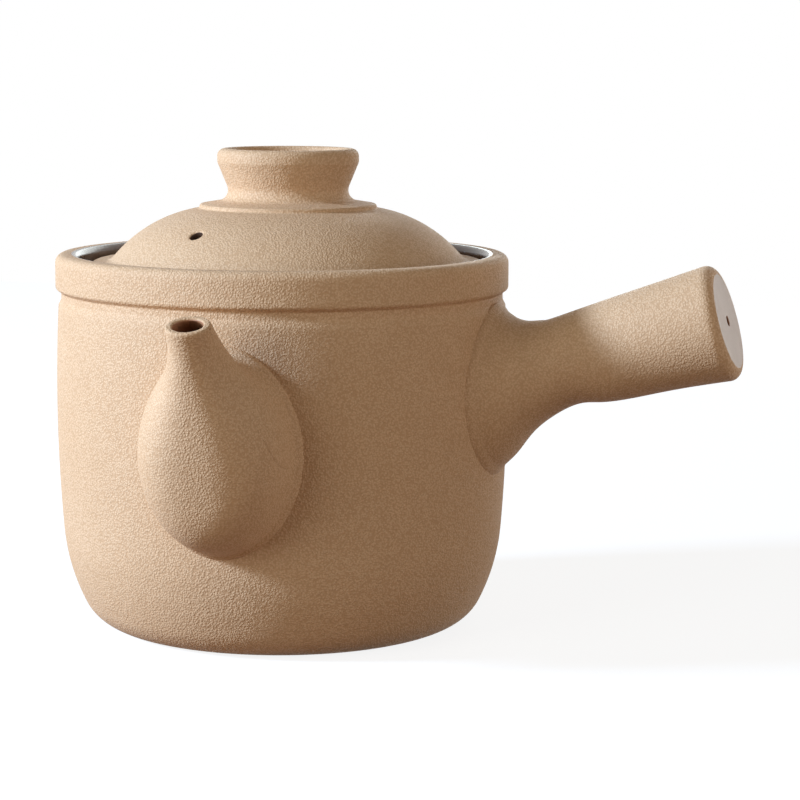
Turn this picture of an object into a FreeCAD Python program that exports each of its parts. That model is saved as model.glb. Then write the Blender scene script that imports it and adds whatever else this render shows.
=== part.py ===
import FreeCAD, Part
import math
import os

from FreeCAD import Vector

# A side-handle clay pot for simmering herbs: a round pot body, a luted spout and handle, and a loose lid
# with a luted knob. Millimetres and degrees. +Z is up, the handle points along +X, and the origin is the
# centre of the flat base. Every size that can be set by itself has one name here.

# ---- pot body ----
BELLY_RADIUS = 91.0            # the widest place of the wall
BELLY_CURVE = 664.0            # radius of the faint barrel curve of the wall
BELLY_LEAN = 4.55              # the wall leans outwards by this angle where the haunch meets the belly
HAUNCH_CURVE = 80.8            # radius of the curve from the wall towards the base
HEEL_CURVE = 18.5              # radius of the tighter curve next to the base
HEEL_END_ANGLE = 63.7          # slope of the wall where the heel meets the haunch
CLAY_WALL = 6.0                # thickness of the wall and the floor
RIM_HEIGHT = 150.2             # top of the rim
BAND_HEIGHT = 13.6             # height of the rim band above its lower edge
BAND_OUTSET = 0.1              # how far the rim band stands out past the widest wall
BAND_UNDERCUT = 1.4            # how far the groove under the band lies inside the band
GROOVE_WIDTH = 2.6             # height of the groove, without its slopes
GROOVE_SLOPE = 1.5             # height of each slope out of the groove
RIM_THICKNESS = 9.1            # width of the rim seen from above
RIM_OUTER_ROUND = 3.4
RIM_INNER_ROUND = 2.6
SHELF_DEPTH = 7.7              # the lid shelf lies this far below the top of the rim
SHELF_WIDTH = 7.0              # how far the shelf reaches inwards from the rim's inside
SHELF_EDGE = 3.5               # thickness of the shelf at its inner edge
SHELF_UNDERSIDE_DROP = 11.0    # height of the slope under the shelf
SMALL_ROUND = 0.8              # rounding of the clay's small edges
LUTED_ROUND = 1.2              # rounding of the spout's and the handle's edge on the pot's wall

# ---- lid ----
LID_PLAY = 3.2                 # gap all round between the lid's flange and the rim, when centred
LID_DRIFT = 2.4                # the lid lies this far off centre, towards the handle
FLANGE_THICKNESS = 4.5
FLANGE_WIDTH = 7.0             # from the flange's edge to the foot of the dome
FLANGE_ROUND = 1.4
DOME_RISE = 21.7               # from the top of the flange to the crown of the dome
DOME_SLOPE = 47.6              # slope of the straight flank at the foot of the dome
DOME_FLANK_RISE = 3.95         # height of that flank
DOME_FOOT_ROUND = 4.0
DOME_WALL = 5.5
SKIRT_GAP = 3.5                # gap between the skirt and the shelf's inner edge, when centred
SKIRT_WALL = 5.0
SKIRT_DEPTH = 8.0              # the skirt hangs this far below the flange
STEAM_HOLE_RADIUS = 2.5
STEAM_HOLE_SLOPE = 32.0        # the steam hole lies where the dome has this slope
STEAM_HOLE_BEARING = -108.7    # direction of the steam hole from the lid's axis

# ---- lid knob ----
KNOB_FOOT_RADIUS = 35.6        # the low step that the knob stands on
KNOB_FOOT_TOP = 1.1            # the edge of the step ends this far above the crown of the dome
KNOB_FOOT_RISE = 2.2           # how much the step's top rises towards the neck
KNOB_NECK_RADIUS = 22.4        # radius of the neck, before its hollow rounding
KNOB_RADIUS = 28.4
KNOB_HEIGHT = 23.3             # from the crown of the dome to the top of the knob
KNOB_LIP_HEIGHT = 5.4          # height of the upright lip
KNOB_LIP_WIDTH = 4.9
KNOB_CUP_DEPTH = 14.0
KNOB_CUP_RADIUS = 18.5         # radius of the hollow at its bottom
KNOB_NECK_ROUND = 4.4
KNOB_LIP_ROUND = 3.0
KNOB_CUP_ROUND = 5.0
KNOB_INNER_ROUND = 1.6
KNOB_FOOT_ROUND = 1.3

# ---- spout ----
SPOUT_BEARING = -85.5          # direction of the spout, seen from above
SPOUT_ROOT_DROP = 68.0         # the middle of the spout's root lies this far below the rim
SPOUT_WALL = 3.0
SPOUT_TIP_RADIUS = 8.3
SPOUT_TIP_WALL = 2.7
SPOUT_LIP_ROUND = 0.9
STRAINER_HOLE_RADIUS = 2.0
STRAINER_PITCH = 9.0
STRAINER_RINGS = 2             # rings of holes round the middle one
# Ovals along the spout: distance out from the widest wall, height above the middle of the root, upward
# tilt, half width, half height. The first lies inside the pot's wall and is cut away there.
SPOUT_STATIONS = (
    (-11.0, -2.0, 0.0, 33.5, 40.0),
    (-1.7, 0.2, 0.0, 30.1, 40.1),
    (10.8, 3.4, 14.0, 27.1, 35.6),
    (21.9, 12.6, 30.0, 21.4, 29.4),
    (25.6, 26.6, 45.5, 15.2, 21.4),
    (28.0, 40.6, 58.5, 10.4, 13.8),
)
SPOUT_TIP = (36.0, 52.1, 72.0)   # the same first three values for the mouth

# ---- handle ----
HANDLE_ROOT_DROP = 47.2        # the grip's axis leaves the widest wall this far below the rim
HANDLE_TILT = 16.0             # upward tilt of the grip
HANDLE_LENGTH = 94.0           # along the axis, from the widest wall to the end face
HANDLE_NECK_RADIUS = 17.7
HANDLE_NECK_PLACE = 25.0       # along the grip's axis
HANDLE_BLEND = 12.0            # the root runs on along the grip this far past the neck
HANDLE_END_RADIUS = 23.0
HANDLE_END_ROUND = 4.2
HANDLE_WALL = 4.5
HANDLE_VENT_RADIUS = 2.0
# Upright ovals of the root: distance out from the widest wall, height above the point where the grip's
# axis leaves it, half width, half height. The first lies inside the pot's wall and is cut away there.
HANDLE_ROOT_STATIONS = (
    (-10.0, -7.3, 32.5, 38.5),
    (-1.0, -4.6, 27.7, 33.1),
    (7.0, -3.2, 23.5, 26.9),
    (16.1, 2.3, 19.2, 21.2),
)

# ---- modelling ----
OVAL_POINTS = 16               # points that each oval of the spout and the handle's root passes through
SEAM_TOLERANCE = 0.001
SPLINE_SURFACE = "Part::GeomBSplineSurface"
FLAT_SURFACE = "Part::GeomPlane"


# ---- helpers ----
def radial(radius, height):
    """A point of a turned profile, in the XZ plane."""
    return Vector(radius, 0, height)


def polar(radius, bearing, height):
    """A point at a distance and direction from the pot's axis."""
    turn = math.radians(bearing)
    return Vector(radius * math.cos(turn), radius * math.sin(turn), height)


def rounded_path(corners):
    """Edges through (radius, height, rounding) corners. The first and last corner stay sharp."""
    points = [radial(r, z) for r, z, _ in corners]
    edges = []
    start = points[0]
    for before, here, after, (_, _, rounding) in zip(points, points[1:], points[2:], corners[1:]):
        if rounding > 0:
            back = (before - here).normalize()
            on = (after - here).normalize()
            half_angle = math.acos(max(-1.0, min(1.0, back.dot(on)))) / 2
            reach = rounding / math.tan(half_angle)
            middle = (back + on).normalize() * (rounding / math.sin(half_angle) - rounding)
            arc = Part.Arc(here + back * reach, here + middle, here + on * reach)
            edges.append(Part.makeLine(start, here + back * reach))
            edges.append(arc.toShape())
            start = here + on * reach
        else:
            edges.append(Part.makeLine(start, here))
            start = here
    edges.append(Part.makeLine(start, points[-1]))
    return edges


def arc_about(centre, radius, first_angle, last_angle):
    """An arc in the XZ plane. Each angle is the slope of the surface: 0 is level and 90 upright."""
    def at(angle):
        turn = math.radians(angle)
        return centre + radial(radius * math.sin(turn), -radius * math.cos(turn))
    return Part.Arc(at(first_angle), at((first_angle + last_angle) / 2), at(last_angle)).toShape()


def turned(edges):
    """The solid of revolution of a closed profile about the Z axis."""
    return Part.Face(Part.Wire(Part.__sortEdges__(edges))).revolve(Vector(0, 0, 0), Vector(0, 0, 1), 360)


def round_spline():
    """A closed spline through evenly spaced points of the unit circle."""
    turns = [share / OVAL_POINTS for share in range(OVAL_POINTS + 1)]
    points = [Vector(math.cos(2 * math.pi * turn), math.sin(2 * math.pi * turn), 0) for turn in turns[:-1]]
    curve = Part.BSplineCurve()
    curve.interpolate(Points=points, Parameters=turns, PeriodicFlag=True)
    return curve


def oval_poles(oval):
    """The poles of the round spline stretched along the oval's half axes."""
    centre, across, up, half_width, half_height = oval
    return [
        centre + across * (half_width * pole.x) + up * (half_height * pole.y)
        for pole in round_spline().getPoles()
    ]


def oval_face(oval):
    unit = round_spline()
    curve = Part.BSplineCurve()
    curve.buildFromPolesMultsKnots(
        oval_poles(oval), unit.getMultiplicities(), unit.getKnots(), True, unit.Degree
    )
    return Part.Face(Part.Wire(curve.toShape()))


def skin(ovals):
    """One smooth surface through a row of ovals, with no twist between them."""
    unit = round_spline()
    rings = [oval_poles(oval) for oval in ovals]
    steps = [
        sum(pole.distanceToPoint(last) for last, pole in zip(before, here))
        for before, here in zip(rings, rings[1:])
    ]
    places = [sum(steps[:count]) / sum(steps) for count in range(len(ovals))]
    strings = []
    for poles in zip(*rings):
        string = Part.BSplineCurve()
        string.interpolate(Points=list(poles), Parameters=places)
        strings.append(string)
    surface = Part.BSplineSurface()
    surface.buildFromPolesMultsKnots(
        [string.getPoles() for string in strings],
        unit.getMultiplicities(), strings[0].getMultiplicities(),
        unit.getKnots(), strings[0].getKnots(),
        True, False, unit.Degree, strings[0].Degree,
    )
    return surface.toShape()


def ring_face(outer, inner):
    """The flat face between two ovals in one plane."""
    return oval_face(outer).cut(oval_face(inner)).Faces[0]


def sewn(faces):
    """The solid inside faces that meet edge to edge."""
    shell = Part.makeShell(faces)
    shell.sewShape()
    solid = Part.Solid(shell)
    solid.fix(SEAM_TOLERANCE, SEAM_TOLERANCE, SEAM_TOLERANCE)
    return solid


def luted(shape):
    """The spout or the handle cut to fit the pot's wall, with its outer edge there rounded."""
    fitted = shape.cut(pot_envelope())
    outer = max(fitted.Faces, key=lambda face: face.Area)
    on_the_pot = [face for face in fitted.Faces if face.Surface.TypeId not in (SPLINE_SURFACE, FLAT_SURFACE)]
    edges_there = [edge for face in on_the_pot for edge in face.Edges]
    seam = [edge for edge in outer.Edges if any(edge.isSame(other) for other in edges_there)]
    return fitted.makeFillet(LUTED_ROUND, seam)


def drill(mouth, inward, radius, wall):
    """A round hole through a wall, from one wall's thickness outside it to one inside it."""
    return Part.makeCylinder(radius, 3 * wall, mouth - inward * wall, inward)


# ---- pot body ----
HAUNCH_END_ANGLE = 90 - BELLY_LEAN
BAND_RADIUS = BELLY_RADIUS + BAND_OUTSET
GROOVE_RADIUS = BAND_RADIUS - BAND_UNDERCUT
RIM_INSIDE = BAND_RADIUS - RIM_THICKNESS
SHELF_HEIGHT = RIM_HEIGHT - SHELF_DEPTH
SHELF_INSIDE = RIM_INSIDE - SHELF_WIDTH
BAND_FOOT = RIM_HEIGHT - BAND_HEIGHT
GROOVE_TOP = BAND_FOOT - GROOVE_SLOPE
GROOVE_FOOT = GROOVE_TOP - GROOVE_WIDTH
WALL_TOP = GROOVE_FOOT - GROOVE_SLOPE
SHELF_UNDERSIDE = SHELF_HEIGHT - SHELF_EDGE
INNER_WALL_TOP = SHELF_UNDERSIDE - SHELF_UNDERSIDE_DROP
SPOUT_ROOT_HEIGHT = RIM_HEIGHT - SPOUT_ROOT_DROP


def belly_centre():
    """Centre of the belly's curve, level with the widest place."""
    heel_end = math.radians(HEEL_END_ANGLE)
    haunch_end = math.radians(HAUNCH_END_ANGLE)
    heel_rise = HEEL_CURVE * (1 - math.cos(heel_end))
    haunch_rise = HAUNCH_CURVE * (math.cos(heel_end) - math.cos(haunch_end))
    belly_rise = BELLY_CURVE * math.cos(haunch_end)
    return radial(BELLY_RADIUS - BELLY_CURVE, heel_rise + haunch_rise + belly_rise)


def haunch_centre():
    step = BELLY_CURVE - HAUNCH_CURVE
    turn = math.radians(HAUNCH_END_ANGLE)
    return belly_centre() + radial(step * math.sin(turn), -step * math.cos(turn))


def heel_centre():
    step = HAUNCH_CURVE - HEEL_CURVE
    turn = math.radians(HEEL_END_ANGLE)
    return haunch_centre() + radial(step * math.sin(turn), -step * math.cos(turn))


def belly_slope_at(height, inset):
    """Slope angle of the wall at a height, for the surface that lies inset inside the outer one."""
    return 90 + math.degrees(math.asin((height - belly_centre().z) / (BELLY_CURVE - inset)))


def belly_radius_at(height, inset):
    reach = BELLY_CURVE - inset
    return belly_centre().x + math.sqrt(reach ** 2 - (height - belly_centre().z) ** 2)


def wall_edges(inset, top):
    """The pot's outline from the middle of the floor up the wall, moved inwards by inset."""
    heel = heel_centre()
    return [
        Part.makeLine(radial(0, inset), radial(heel.x, inset)),
        arc_about(heel, HEEL_CURVE - inset, 0, HEEL_END_ANGLE),
        arc_about(haunch_centre(), HAUNCH_CURVE - inset, HEEL_END_ANGLE, HAUNCH_END_ANGLE),
        arc_about(belly_centre(), BELLY_CURVE - inset, HAUNCH_END_ANGLE, belly_slope_at(top, inset)),
    ]


def groove_corners():
    """The outline from the top of the wall through the groove to the lower edge of the rim band."""
    return [
        (belly_radius_at(WALL_TOP, 0), WALL_TOP, 0),
        (GROOVE_RADIUS, GROOVE_FOOT, SMALL_ROUND),
        (GROOVE_RADIUS, GROOVE_TOP, SMALL_ROUND),
        (BAND_RADIUS, BAND_FOOT, SMALL_ROUND),
    ]


def pot_envelope():
    """The pot's wall as if it were solid clay with no groove: what the spout and the handle are cut to fit."""
    top = [(belly_radius_at(RIM_HEIGHT, 0), RIM_HEIGHT, 0), (0, RIM_HEIGHT, 0), (0, 0, 0)]
    return turned(wall_edges(0, RIM_HEIGHT) + rounded_path(top))


def strainer_holes():
    """Small round holes through the wall behind the spout, in a triangular pattern."""
    out = polar(1, SPOUT_BEARING, 0)
    across = polar(1, SPOUT_BEARING + 90, 0)
    row_height = STRAINER_PITCH * math.sqrt(3) / 2
    holes = []
    for row in range(-STRAINER_RINGS, STRAINER_RINGS + 1):
        count = 2 * STRAINER_RINGS + 1 - abs(row)
        for place in range(count):
            side = (place - (count - 1) / 2) * STRAINER_PITCH
            mouth = polar(BELLY_RADIUS, SPOUT_BEARING, SPOUT_ROOT_HEIGHT + row * row_height) + across * side
            holes.append(drill(mouth, -out, STRAINER_HOLE_RADIUS, CLAY_WALL))
    return Part.makeCompound(holes)


def pot_body():
    inside = [
        (BAND_RADIUS, RIM_HEIGHT, RIM_OUTER_ROUND),
        (RIM_INSIDE, RIM_HEIGHT, RIM_INNER_ROUND),
        (RIM_INSIDE, SHELF_HEIGHT, SMALL_ROUND),
        (SHELF_INSIDE, SHELF_HEIGHT, SMALL_ROUND),
        (SHELF_INSIDE, SHELF_UNDERSIDE, SMALL_ROUND),
        (belly_radius_at(INNER_WALL_TOP, CLAY_WALL), INNER_WALL_TOP, 0),
    ]
    outline = wall_edges(0, WALL_TOP) + rounded_path(groove_corners() + inside)
    hollow = wall_edges(CLAY_WALL, INNER_WALL_TOP)
    middle = Part.makeLine(radial(0, 0), radial(0, CLAY_WALL))
    return turned([*outline, *hollow, middle]).cut(strainer_holes())


# ---- lid ----
FLANGE_RADIUS = RIM_INSIDE - LID_PLAY
FLANGE_TOP = SHELF_HEIGHT + FLANGE_THICKNESS
DOME_FOOT_RADIUS = FLANGE_RADIUS - FLANGE_WIDTH
CROWN_HEIGHT = FLANGE_TOP + DOME_RISE
SKIRT_RADIUS = SHELF_INSIDE - SKIRT_GAP
LID_AXIS = Vector(LID_DRIFT, 0, 0)


def dome_curve():
    """Radius of the dome's shoulder, between the straight flank and the level crown."""
    return (DOME_RISE - DOME_FLANK_RISE) / (1 - math.cos(math.radians(DOME_SLOPE)))


def dome_centre():
    """Centre of the shoulder's curve, in the lid's own profile. The crown is level inside its radius."""
    slope = math.radians(DOME_SLOPE)
    flank_run = DOME_FLANK_RISE / math.tan(slope)
    shoulder_run = dome_curve() * math.sin(slope)
    return radial(DOME_FOOT_RADIUS - flank_run - shoulder_run, CROWN_HEIGHT - dome_curve())


def dome_point(slope, inset):
    """The point of the shoulder with a given slope, moved inwards by inset."""
    turn = math.radians(slope)
    reach = dome_curve() - inset
    return dome_centre() + radial(reach * math.sin(turn), reach * math.cos(turn))


def dome_edges(inset):
    """The outline from the middle of the crown to the top of the flank, moved inwards by inset."""
    shoulder = Part.Arc(*[dome_point(share * DOME_SLOPE, inset) for share in (0, 0.5, 1)])
    crown = CROWN_HEIGHT - inset
    return [Part.makeLine(radial(0, crown), radial(dome_centre().x, crown)), shoulder.toShape()]


def lid():
    outside = dome_point(DOME_SLOPE, 0)
    inside = dome_point(DOME_SLOPE, DOME_WALL)
    skirt_inside = SKIRT_RADIUS - SKIRT_WALL
    skirt_top = inside.z - (skirt_inside - inside.x) * math.tan(math.radians(DOME_SLOPE))
    skirt_foot = SHELF_HEIGHT - SKIRT_DEPTH
    rim = [
        (outside.x, outside.z, 0),
        (DOME_FOOT_RADIUS, FLANGE_TOP, DOME_FOOT_ROUND),
        (FLANGE_RADIUS, FLANGE_TOP, FLANGE_ROUND),
        (FLANGE_RADIUS, SHELF_HEIGHT, SMALL_ROUND),
        (SKIRT_RADIUS, SHELF_HEIGHT, SMALL_ROUND),
        (SKIRT_RADIUS, skirt_foot, FLANGE_ROUND),
        (skirt_inside, skirt_foot, FLANGE_ROUND),
        (skirt_inside, skirt_top, SMALL_ROUND),
        (inside.x, inside.z, 0),
    ]
    middle = Part.makeLine(radial(0, CROWN_HEIGHT - DOME_WALL), radial(0, CROWN_HEIGHT))
    clay = turned([*dome_edges(0), *rounded_path(rim), *dome_edges(DOME_WALL), middle])
    return clay.cut(steam_hole()).translated(LID_AXIS)


def steam_hole():
    """A round hole square to the dome's surface, before the lid is put in its place."""
    slope = math.radians(STEAM_HOLE_SLOPE)
    place = dome_point(STEAM_HOLE_SLOPE, 0)
    mouth = polar(place.x, STEAM_HOLE_BEARING, place.z)
    inward = polar(-math.sin(slope), STEAM_HOLE_BEARING, -math.cos(slope))
    return drill(mouth, inward, STEAM_HOLE_RADIUS, DOME_WALL)


def dome_envelope():
    """The dome as if it were solid clay: what the knob's foot is cut to fit."""
    flank = dome_point(DOME_SLOPE, 0)
    below = [
        Part.makeLine(flank, radial(DOME_FOOT_RADIUS, FLANGE_TOP)),
        Part.makeLine(radial(DOME_FOOT_RADIUS, FLANGE_TOP), radial(0, FLANGE_TOP)),
        Part.makeLine(radial(0, FLANGE_TOP), radial(0, CROWN_HEIGHT)),
    ]
    return turned([*dome_edges(0), *below])


def lid_knob():
    foot_top = CROWN_HEIGHT + KNOB_FOOT_TOP
    top = CROWN_HEIGHT + KNOB_HEIGHT
    cup_floor = top - KNOB_CUP_DEPTH
    outline = [
        (0, FLANGE_TOP, 0),
        (KNOB_FOOT_RADIUS, FLANGE_TOP, 0),
        (KNOB_FOOT_RADIUS, foot_top, KNOB_FOOT_ROUND),
        (KNOB_NECK_RADIUS, foot_top + KNOB_FOOT_RISE, KNOB_NECK_ROUND),
        (KNOB_RADIUS, top - KNOB_LIP_HEIGHT, KNOB_LIP_ROUND),
        (KNOB_RADIUS, top, KNOB_LIP_ROUND),
        (KNOB_RADIUS - KNOB_LIP_WIDTH, top, KNOB_INNER_ROUND),
        (KNOB_CUP_RADIUS, cup_floor, KNOB_CUP_ROUND),
        (0, cup_floor, 0),
        (0, FLANGE_TOP, 0),
    ]
    return turned(rounded_path(outline)).cut(dome_envelope()).translated(LID_AXIS)


# ---- spout ----
def spout_section(distance, rise, tilt, half_width, half_height):
    """An oval square to the spout's course, which rises at the given tilt."""
    slope = math.radians(tilt)
    centre = polar(BELLY_RADIUS + distance, SPOUT_BEARING, SPOUT_ROOT_HEIGHT + rise)
    across = polar(1, SPOUT_BEARING + 90, 0)
    up = polar(-math.sin(slope), SPOUT_BEARING, math.cos(slope))
    return centre, across, up, half_width, half_height


def spout_sections(wall, tip_wall):
    """The ovals along the spout, thinned by its wall."""
    sections = [
        spout_section(distance, rise, tilt, half_width - wall, half_height - wall)
        for distance, rise, tilt, half_width, half_height in SPOUT_STATIONS
    ]
    tip_radius = SPOUT_TIP_RADIUS - tip_wall
    return [*sections, spout_section(*SPOUT_TIP, tip_radius, tip_radius)]


def mouth_ring(shape):
    """The flat ring round the spout's mouth: the highest of its flat faces."""
    flat = [face for face in shape.Faces if face.Surface.TypeId == FLAT_SURFACE]
    return max(flat, key=lambda face: face.CenterOfMass.z)


def spout():
    outer = spout_sections(0, 0)
    inner = spout_sections(SPOUT_WALL, SPOUT_TIP_WALL)
    ends = [ring_face(outer[end], inner[end]) for end in (0, -1)]
    fitted = luted(sewn([skin(outer), skin(inner), *ends]))
    return fitted.makeFillet(SPOUT_LIP_ROUND, mouth_ring(fitted).Edges)


# ---- handle ----
def handle_axis_point(along):
    rise = math.radians(HANDLE_TILT)
    root_height = RIM_HEIGHT - HANDLE_ROOT_DROP
    return Vector(BELLY_RADIUS + along * math.cos(rise), 0, root_height + along * math.sin(rise))


def grip_radius(along):
    share = (along - HANDLE_NECK_PLACE) / (HANDLE_LENGTH - HANDLE_NECK_PLACE)
    return HANDLE_NECK_RADIUS + share * (HANDLE_END_RADIUS - HANDLE_NECK_RADIUS)


def grip_section(along, radius):
    """A round section of the grip, square to its axis."""
    rise = math.radians(HANDLE_TILT)
    up = Vector(-math.sin(rise), 0, math.cos(rise))
    return handle_axis_point(along), Vector(0, 1, 0), up, radius, radius


def handle_sections(wall, end):
    """The ovals from inside the pot's wall along the grip to its end, thinned by wall."""
    sections = []
    for distance, height, half_width, half_height in HANDLE_ROOT_STATIONS:
        centre = handle_axis_point(0) + Vector(distance, 0, height)
        sections.append((centre, Vector(0, 1, 0), Vector(0, 0, 1), half_width - wall, half_height - wall))
    past_neck = HANDLE_NECK_PLACE + HANDLE_BLEND
    for along in (HANDLE_NECK_PLACE, past_neck, (past_neck + end) / 2, end):
        sections.append(grip_section(along, grip_radius(along) - wall))
    return sections


def end_rounding():
    """The sections round the edge of the handle's flat end."""
    start = HANDLE_LENGTH - HANDLE_END_ROUND
    sections = []
    for angle in (0, 30, 60, 90):
        turn = math.radians(angle)
        along = start + HANDLE_END_ROUND * math.sin(turn)
        sections.append(grip_section(along, grip_radius(start) - HANDLE_END_ROUND * (1 - math.cos(turn))))
    return sections


def handle():
    edge = end_rounding()
    outer = handle_sections(0, HANDLE_LENGTH - HANDLE_END_ROUND)
    inner = handle_sections(HANDLE_WALL, HANDLE_LENGTH - HANDLE_WALL)
    outside = [skin(outer), skin(edge), oval_face(edge[-1])]
    hollow = [skin(inner), oval_face(inner[-1])]
    clay = sewn([*outside, *hollow, ring_face(outer[0], inner[0])])
    end = handle_axis_point(HANDLE_LENGTH)
    inward = (handle_axis_point(0) - end).normalize()
    return luted(clay).cut(drill(end, inward, HANDLE_VENT_RADIUS, HANDLE_WALL))


def main():
    os.makedirs("parts", exist_ok=True)
    pieces = {
        "pot_body": pot_body(),
        "spout": spout(),
        "handle": handle(),
        "lid": lid(),
        "lid_knob": lid_knob(),
    }
    for name, shape in pieces.items():
        solids = len(shape.Solids)
        print(name, "valid", shape.isValid(), "solids", solids, "volume", round(shape.Volume))
        shape.exportStep(f"parts/{name}.step")


main()
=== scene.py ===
import bisect
import math

import bmesh
import bpy
from mathutils import Matrix, Vector


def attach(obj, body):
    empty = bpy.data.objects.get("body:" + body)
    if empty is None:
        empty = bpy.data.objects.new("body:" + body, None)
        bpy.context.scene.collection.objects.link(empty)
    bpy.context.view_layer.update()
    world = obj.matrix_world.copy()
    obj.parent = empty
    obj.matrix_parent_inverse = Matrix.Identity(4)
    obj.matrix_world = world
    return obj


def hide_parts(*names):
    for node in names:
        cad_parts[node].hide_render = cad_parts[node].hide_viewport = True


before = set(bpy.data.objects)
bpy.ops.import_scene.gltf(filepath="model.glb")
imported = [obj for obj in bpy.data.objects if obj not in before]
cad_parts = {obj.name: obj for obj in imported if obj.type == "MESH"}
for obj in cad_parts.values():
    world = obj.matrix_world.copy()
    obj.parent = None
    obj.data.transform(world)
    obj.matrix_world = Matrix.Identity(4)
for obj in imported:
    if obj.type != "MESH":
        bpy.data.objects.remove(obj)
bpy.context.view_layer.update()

# A clay pot for simmering herbs, dressed over its CAD frame. The frame is in metres: sizes that are written
# in millimetres are multiplied by MM. +Z is up, the handle points along +X and the spout almost along -Y.
MM = 0.001
TURN_STEPS = 192               # facets round a turned piece
RING_POINTS = 96               # points round a ring of the spout and the handle
MERGE_DISTANCE = 0.00001       # points nearer than this are one point, in metres
SMOOTH_BELOW = 40              # edges that turn by fewer degrees than this are shaded smooth
SMALL_ROUND = 0.8              # rounding of the clay's small edges

# ---- the turned outline of the pot, in millimetres ----
BELLY_RADIUS = 91.0
BELLY_CURVE = 664.0
HAUNCH_CURVE = 80.8
HEEL_CURVE = 18.5
HAUNCH_END_ANGLE = 85.45
HEEL_END_ANGLE = 63.7
CLAY_WALL = 6.0
RIM_HEIGHT = 150.2
BAND_RADIUS = 91.06
BAND_FOOT = 136.6
GROOVE_RADIUS = 88.8
GROOVE_TOP = 135.1
GROOVE_FOOT = 132.1
BAND_FOOT_ROUND = 1.6
GROOVE_TOP_ROUND = 1.0
GROOVE_FOOT_ROUND = 1.6
WALL_TOP = 129.8
RIM_INSIDE = 82.0
RIM_OUTSIDE_ROUND = 3.4
RIM_INSIDE_ROUND = 2.6
SHELF_HEIGHT = 142.5
SHELF_INSIDE = 75.0
SHELF_UNDERSIDE = 139.0
INNER_WALL_TOP = 128.0
GLAZE_OVER_RIM = 2.5           # how far the glaze runs outwards over the rim's inner rounding
BARE_FOOT_TOP = 0.6            # the base is bare and rubbed up to this height
LOOKS_DOWN = -0.9              # a face of the base has a normal with less upward part than this
LOOKS_UP = 0.2                 # and a face of the glazed floor has one with more than this

# ---- the lid and its knob ----
LID_DRIFT = 2.4
FLANGE_RADIUS = 78.8
FLANGE_TOP = 147.0
LID_EDGE_ROUND = 1.4           # rounding of the edges of the flange and the skirt
DOME_FOOT_RADIUS = 71.8
DOME_FOOT_ROUND = 4.0
DOME_SLOPE = 47.6
DOME_FLANK_RISE = 3.95
CROWN_HEIGHT = 168.7
DOME_WALL = 5.5
DOME_STEPS = 24                # facets from the crown to the flank
SKIRT_RADIUS = 71.5
SKIRT_WALL = 5.0
SKIRT_FOOT = 134.5
STEAM_HOLE_RADIUS = 2.5
STEAM_HOLE_SLOPE = 32.0
STEAM_HOLE_BEARING = -108.7
# The hole's softened mouth: (how much wider than the hole, height over the dome).
STEAM_HOLE_MOUTH = ((0.0, -0.9), (0.12, -0.55), (0.45, -0.22), (0.95, 0.0), (1.6, 0.15))
STEAM_DRILL_BELOW = 9          # how far the drill reaches below the dome's surface, and above it
STEAM_DRILL_ABOVE = 3
HOLE_SHADE_DEPTH = 0.5               # the hole's wall is painted dark, as painted shade, from this far below the dome's surface
HOLE_SHADE_REACH = 0.1               # faces this far outside the hole's radius still belong to it
KNOB_FOOT_RADIUS = 35.6
KNOB_FOOT_TOP = 169.8
KNOB_FOOT_RISE = 2.2
KNOB_NECK_RADIUS = 22.4
KNOB_RADIUS = 28.4
KNOB_TOP = 192.0
KNOB_LIP_HEIGHT = 5.4
KNOB_LIP_WIDTH = 4.9
KNOB_CUP_FLOOR = 178.0
KNOB_CUP_RADIUS = 18.5
KNOB_ROOT_DEPTH = 2.5          # how far the knob reaches below the crown
KNOB_ROOT_INSET = 3
KNOB_SMEAR_WIDTH = 1.3         # the foot is smeared outwards into the dome, by this much
KNOB_SMEAR_FOOT = 0.75         # the smear's lower and upper end, below the crown
KNOB_SMEAR_TOP = 0.35
KNOB_SMEAR_ROUND = 0.9
KNOB_FOOT_ROUND = 1.1
KNOB_NECK_ROUND = 4.4
KNOB_LIP_ROUND = 3.0
KNOB_CUP_EDGE_ROUND = 1.6
KNOB_CUP_ROUND = 5.0
KNOB_LONGEST_FACET = 1.6
KNOB_SMOOTH_BELOW = 45

# ---- the spout: rings of (outwards, height, tilt, half width, half height) from the middle of its root ----
SPOUT_BEARING = -85.5
SPOUT_ROOT_HEIGHT = 82.2
SPOUT_RINGS = (
    (-11.0, -2.0, 0.0, 32.7, 40.0),
    (-1.7, 0.2, 0.0, 29.3, 39.6),
    (10.8, 3.4, 15.0, 27.2, 35.4),
    (18.8, 12.2, 22.0, 23.6, 27.2),
    (23.2, 26.3, 35.5, 16.2, 18.8),
    (27.0, 40.3, 56.7, 9.9, 12.8),
    (35.6, 52.1, 72.0, 8.3, 8.3),
)
# How far the front of the spout's rings is from a plain oval towards a square: (outwards, squareness).
SPOUT_FRONT = ((-11.0, 0.0), (-1.7, 0.0), (10.8, 0.05), (18.8, 0.65), (23.2, 0.77), (27.0, 0.45), (36.0, 0.0))
SPOUT_TIP_RADIUS = 8.3
SPOUT_WALL = 3.0
SPOUT_TIP_WALL = 2.7
SPOUT_LIP_ROUND = 0.9
SPOUT_LIP_STEP = 15            # degrees from ring to ring round the lip
SPOUT_LIP_DIP = 0.04           # the lip's inner half lies this much lower
SPOUT_LIP_GAP = 0.4            # the skin's rings end at least this far below the lip
SPOUT_BORE_GAP = 1.0           # and the bore's rings this far
SPOUT_LIP_IN_BORE = 3          # as many rings of the lip have the bore's finish
SPOUT_RING_COUNT = 64
SPOUT_INNER_RING_COUNT = 40
SPOUT_SMOOTH_BELOW = 50
STRAINER_HOLE_RADIUS = 2.0
STRAINER_PITCH = 9.0
STRAINER_RINGS = 2

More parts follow.
